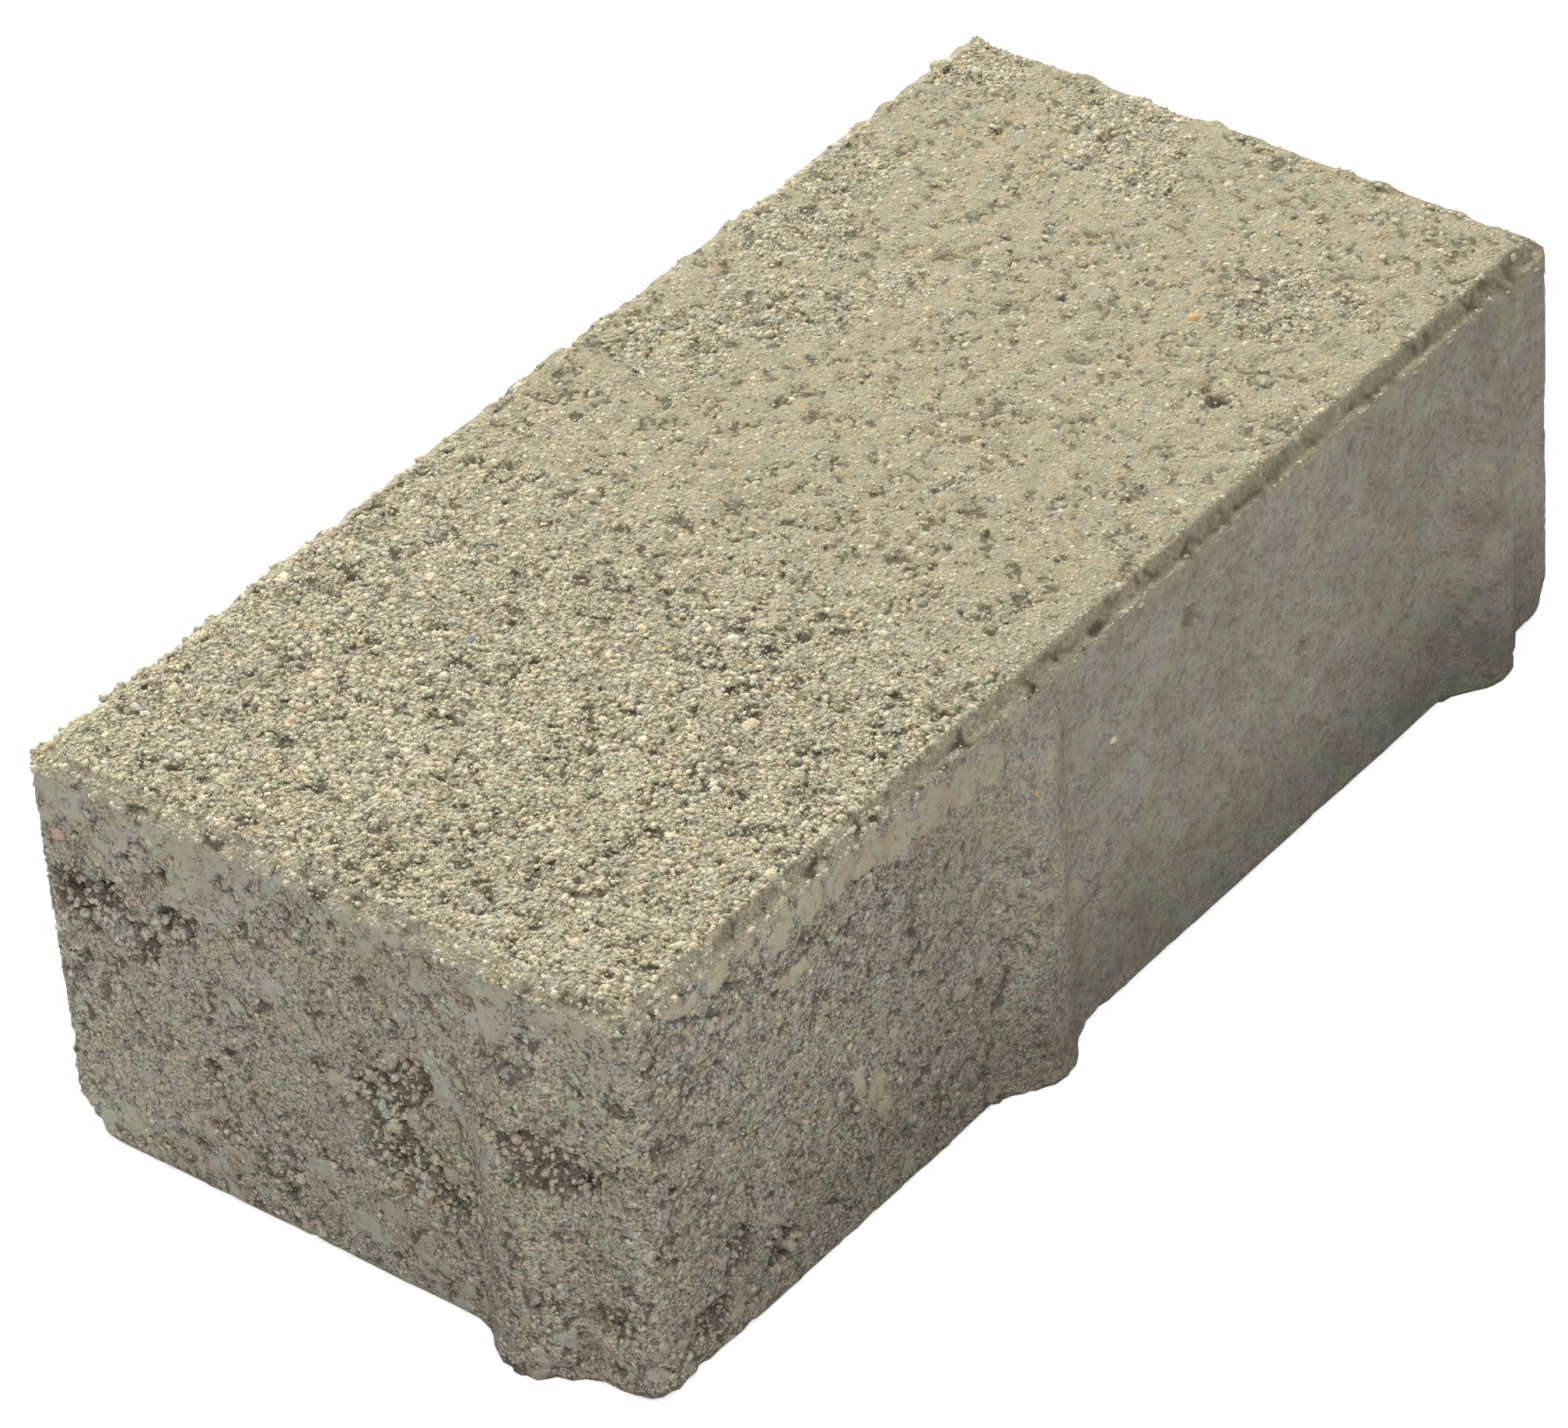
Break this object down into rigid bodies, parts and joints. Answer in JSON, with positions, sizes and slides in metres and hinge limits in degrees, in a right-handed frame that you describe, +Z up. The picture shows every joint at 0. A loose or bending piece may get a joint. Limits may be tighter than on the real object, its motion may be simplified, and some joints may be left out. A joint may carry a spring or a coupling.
{
  "type": "concrete paving stone",
  "caption": "Rectangular pressed concrete paving stone with a micro-bevelled wearing face and upright spacer nibs on its sides.",
  "frame": {"origin": "middle of the bed face, at the level that the stone lies on", "axes": "+X along the stone, +Y across it, +Z up out of the wearing face"},
  "size_m": [0.204, 0.104, 0.06],
  "materials": {
    "concrete": "raw pressed concrete: open sandy grain on the wearing face, denser and greyer on the mould sides"
  },
  "bodies": {
    "root": {"paving_stone": "concrete"}
  },
  "joints": []
}
